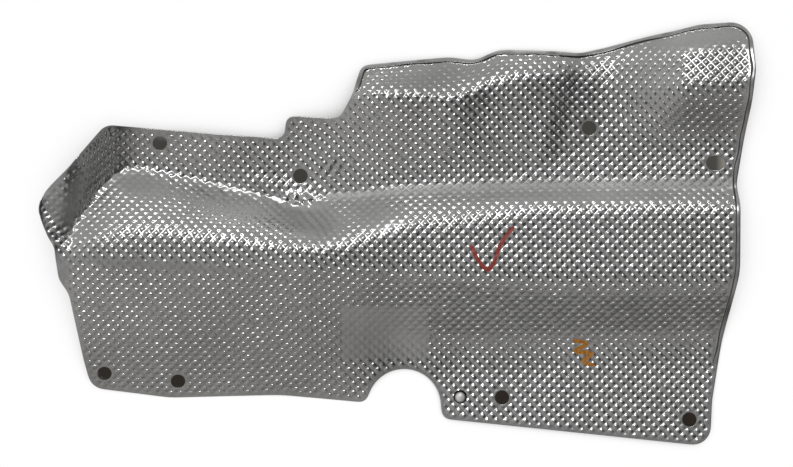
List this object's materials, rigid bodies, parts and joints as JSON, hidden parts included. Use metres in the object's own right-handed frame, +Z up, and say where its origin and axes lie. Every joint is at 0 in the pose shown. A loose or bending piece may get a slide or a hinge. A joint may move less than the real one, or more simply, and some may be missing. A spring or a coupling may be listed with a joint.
{
  "type": "exhaust heat shield",
  "caption": "Pressed embossed aluminium sheet with a hemmed edge and bolt holes, shaped to bridge an exhaust pipe and keep its heat off the parts behind.",
  "frame": {"origin": "under the middle of the sheet's footprint, on the surface that it lies on", "axes": "+X along the sheet, from its end wing to its raised rear corner; +Y from the front flange to the rear edge; +Z up, out of the face that the picture shows"},
  "size_m": [0.5026, 0.2968, 0.0361],
  "materials": {
    "embossed_sheet": "embossed, dulled by heat",
    "rivet_metal": "bright"
  },
  "bodies": {
    "root": {"heat_shield": "embossed_sheet", "dome_rivet": "rivet_metal"}
  },
  "joints": []
}
